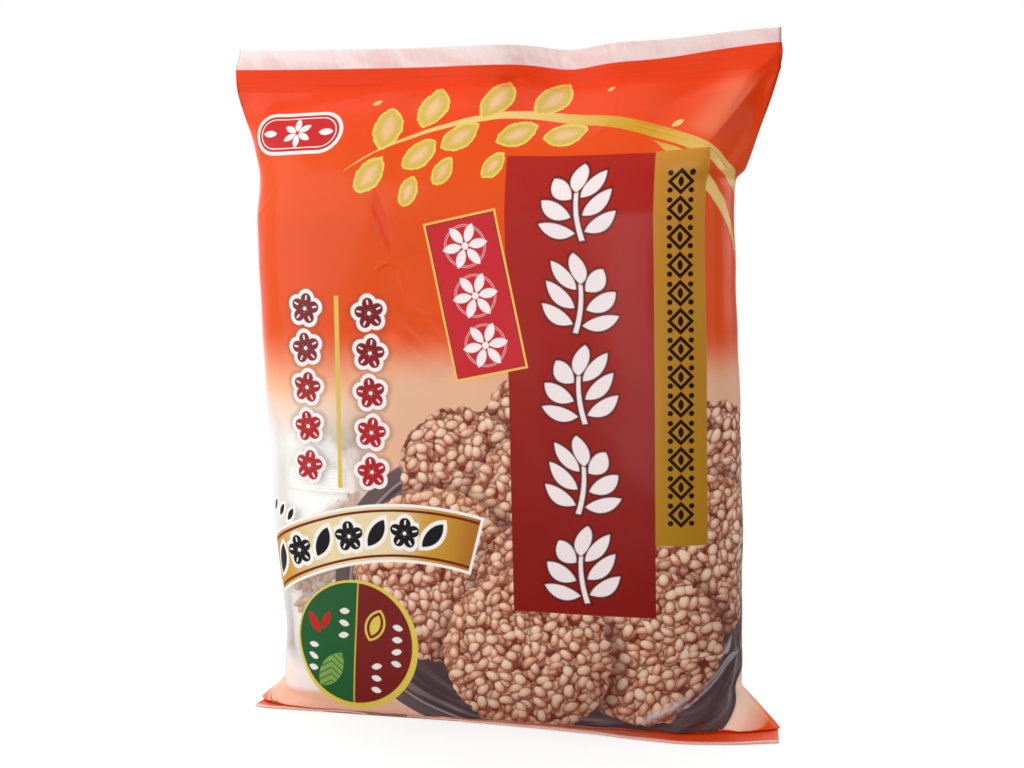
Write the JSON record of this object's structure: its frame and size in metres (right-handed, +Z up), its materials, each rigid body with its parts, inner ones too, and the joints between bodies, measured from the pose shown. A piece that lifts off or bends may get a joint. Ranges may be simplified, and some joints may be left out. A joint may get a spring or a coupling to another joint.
{
  "type": "pack of rice crackers",
  "caption": "Sealed pillow bag of puffed rice crackers, orange film with a clear corner, standing on its folded bottom seal.",
  "frame": {"origin": "on the ground, below the centre of the bag's bounding box", "axes": "+Z up along the bag's height, -Y out of the printed front, +X to the right of someone who looks at the front"},
  "size_m": [0.2162, 0.0568, 0.257],
  "materials": {
    "film": "glossy printed packing film, orange to cream, with crisp folds",
    "inner_wrap": "thin milky inner wrapper, crinkled",
    "cracker": "toasted puffed rice, satin glaze of soy sauce"
  },
  "bodies": {
    "root": {"pack": "film"}
  },
  "joints": []
}
